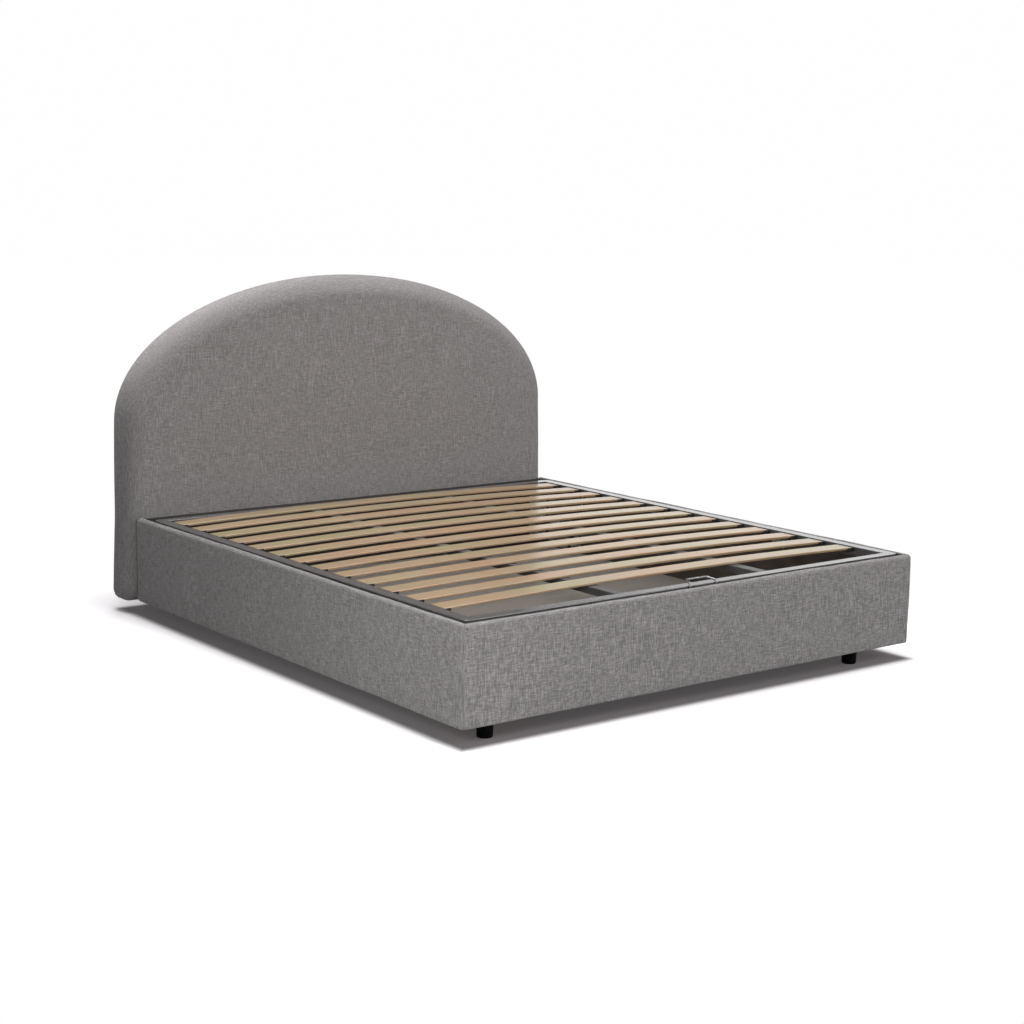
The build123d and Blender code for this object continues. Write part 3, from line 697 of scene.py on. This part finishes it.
give_finish(["hinge_bracket_left", "hinge_bracket_right"], zinc)
give_finish(["pivot_pins", "retaining_rings", "strut_base_studs", "strut_tip_studs"], zinc)


# Gas struts
# A black painted cylinder on the hinge bracket and a ground, plated rod on the
# lift arm. Both turn on studs.

strut_paint, tree, shader = new_finish("strut_paint", {"Specular IOR Level": 0.5})
rub = streaks(tree, (40.0, 40.0, 12.0), 4.0)
colour_surface(tree, shader, rub, [(0.3, (0.010, 0.010, 0.011)), (0.7, (0.022, 0.022, 0.023))])
vary_roughness(tree, shader, rub, 0.22, 0.38)
give_finish(["strut_cylinder_left", "strut_cylinder_right"], strut_paint)

ground_rod, tree, shader = new_finish("ground_rod", {"Metallic": 1.0})
lines = streaks(tree, (500.0, 60.0, 60.0), 3.0)
colour_surface(tree, shader, lines, [(0.3, (0.58, 0.59, 0.61)), (0.7, (0.72, 0.73, 0.75))])
vary_roughness(tree, shader, lines, 0.1, 0.2)
give_finish(["strut_rod_left", "strut_rod_right"], ground_rod)


# Studio floor, light and camera
# A wide pale floor under broad soft lights, with a small one for the arch's rim,
# seen from the left of the foot end at about one and a half metres. Under the bed
# the floor carries a painted shadow with a faint painted glow.

def seen_or_mirrored(tree):
    """The light path, and 1 where the eye or a glossy surface looks, 0 for other light."""
    rays = add_node(tree, "LightPath")
    return rays, worked_out(tree, "MAXIMUM", rays.outputs["Is Camera Ray"], rays.outputs["Is Glossy Ray"])


paper, tree, shader = new_finish("floor_paper", {
    "Roughness": 0.9,
    "Specular IOR Level": 0.1,
    "Emission Color": (1.0, 0.93, 0.95, 1.0),
})
# Under the bed's footprint the floor as seen is painted darker, a painted shadow, and glows faintly there,
# a painted glow inside that shadow.
bed_half = (0.945, 1.098, 0.0)
painted_shadow_from, painted_shadow_to = 0.035, -0.015
fade_from, fade_to = 0.30, 0.80
lighting_tone, seen_tone = (0.42, 0.415, 0.42, 1.0), (1.30, 1.28, 1.30, 1.0)
painted_shadow_tone, painted_shadow_glow = (0.13, 0.122, 0.126, 1.0), 0.065
_, as_seen = seen_or_mirrored(tree)
tone = mixed(tree, as_seen, lighting_tone, seen_tone, "RGBA")
on_floor = add_node(tree, "TexCoord").outputs["Object"]
beyond = add_node(tree, "VectorMath", {0: on_floor}, operation="ABSOLUTE").outputs["Vector"]
beyond = add_node(tree, "VectorMath", {0: beyond, 1: bed_half}, operation="SUBTRACT").outputs["Vector"]
sides = add_node(tree, "SeparateXYZ", {"Vector": beyond})
under = worked_out(tree, "MAXIMUM", sides.outputs["X"], sides.outputs["Y"])
# under is the mask of the painted shadow: 1 under the bed's footprint, 0 a little outside it.
under = stretched(tree, under, painted_shadow_from, painted_shadow_to, smooth=True)
under = worked_out(tree, "MULTIPLY", under, as_seen)
tree.links.new(mixed(tree, under, tone, painted_shadow_tone, "RGBA"), shader.inputs["Base Color"])
tree.links.new(worked_out(tree, "MULTIPLY", under, painted_shadow_glow), shader.inputs["Emission Strength"])
beyond = add_node(tree, "VectorMath", {0: beyond, 1: (0.0,) * 3}, operation="MAXIMUM").outputs["Vector"]
away = add_node(tree, "VectorMath", {0: beyond}, operation="LENGTH").outputs["Value"]
faded = worked_out(tree, "MULTIPLY", stretched(tree, away, fade_from, fade_to, smooth=True), as_seen)
blank = add_node(tree, "Emission", {"Color": (1.0, 1.0, 1.0, 1.0), "Strength": 1.0}).outputs["Emission"]
sweep = add_node(tree, "MixShader", {0: faded, 1: shader.outputs["BSDF"], 2: blank}).outputs["Shader"]
tree.links.new(sweep, tree.nodes["Material Output"].inputs["Surface"])
far = 30
floor_mesh = bpy.data.meshes.new("studio_floor")
floor_mesh.from_pydata([(-far, -far, 0), (far, -far, 0), (far, far, 0), (-far, far, 0)], [], [(0, 1, 2, 3)])
studio_floor = bpy.data.objects.new("studio_floor", floor_mesh)
studio_floor.data.materials.append(paper)
bpy.context.scene.collection.objects.link(studio_floor)

sky = bpy.data.worlds.new("studio_sky")
sky.use_nodes = True
bpy.context.scene.world = sky
tree = sky.node_tree
rays, as_seen = seen_or_mirrored(tree)
as_seen = worked_out(tree, "MAXIMUM", as_seen, rays.outputs["Is Transmission Ray"])
towards = add_node(tree, "SeparateXYZ", {"Vector": add_node(tree, "TexCoord").outputs["Generated"]})
ambient = stretched(tree, towards.outputs["X"], -1.0, 1.0, 0.06, 0.38)
low_bright, high_dark = 0.197, 0.219
mirrored = stretched(tree, towards.outputs["Z"], low_bright, high_dark, 1.15, 0.12, smooth=True)
mirrored = mixed(tree, rays.outputs["Is Glossy Ray"], 1.0, mirrored)
tree.links.new(mixed(tree, as_seen, ambient, mirrored), tree.nodes["Background"].inputs["Strength"])
tree.nodes["Background"].inputs["Color"].default_value = (1.0, 0.995, 1.0, 1.0)


def soft_light(name, place, aim, size, watts, spread=180):
    lamp = bpy.data.lights.new(name, "AREA")
    lamp.shape = "SQUARE"
    lamp.size = size
    lamp.energy = watts
    lamp.spread = math.radians(spread)
    holder = bpy.data.objects.new(name, lamp)
    holder.location = place
    holder.rotation_euler = (Vector(aim) - Vector(place)).to_track_quat("-Z", "Y").to_euler()
    bpy.context.scene.collection.objects.link(holder)
    return holder


soft_light("overhead", (-0.3, 0.2, 5.0), (0.0, -0.1, 0.2), 3.6, 254)
soft_light("right_front", (2.6, -5.0, 3.2), (0.2, -0.6, 0.3), 2.6, 164)
soft_light("left_corner", (-2.9, -2.5, 1.5), (-0.95, -0.75, 0.2), 0.9, 8.3, spread=66)
arch_rim = soft_light("arch_rim", (-1.75, 1.95, 2.05), (-0.55, 1.05, 1.12), 0.7, 2.9, spread=45)
arch_rim.visible_camera = False
arch_rim.visible_glossy = False

camera = bpy.data.cameras.new("camera")
camera.sensor_width = 36.0
camera.lens = 65.51
camera.clip_end = 100.0
eye = (-3.9328, -5.2222, 1.5625)
yaw, pitch, roll = 0.65281, 0.17008, 0.01495
ahead = Vector((math.sin(yaw) * math.cos(pitch), math.cos(yaw) * math.cos(pitch), -math.sin(pitch)))
right = Vector((math.cos(yaw), -math.sin(yaw), 0.0))
up = right.cross(ahead)
tilted_right = right * math.cos(roll) + up * math.sin(roll)
tilted_up = up * math.cos(roll) - right * math.sin(roll)
turn = Matrix((tilted_right, tilted_up, -ahead)).transposed().to_4x4()
viewpoint = bpy.data.objects.new("camera", camera)
viewpoint.matrix_world = Matrix.Translation(eye) @ turn
bpy.context.scene.collection.objects.link(viewpoint)
bpy.context.scene.camera = viewpoint

bpy.context.scene.view_settings.view_transform = "Standard"
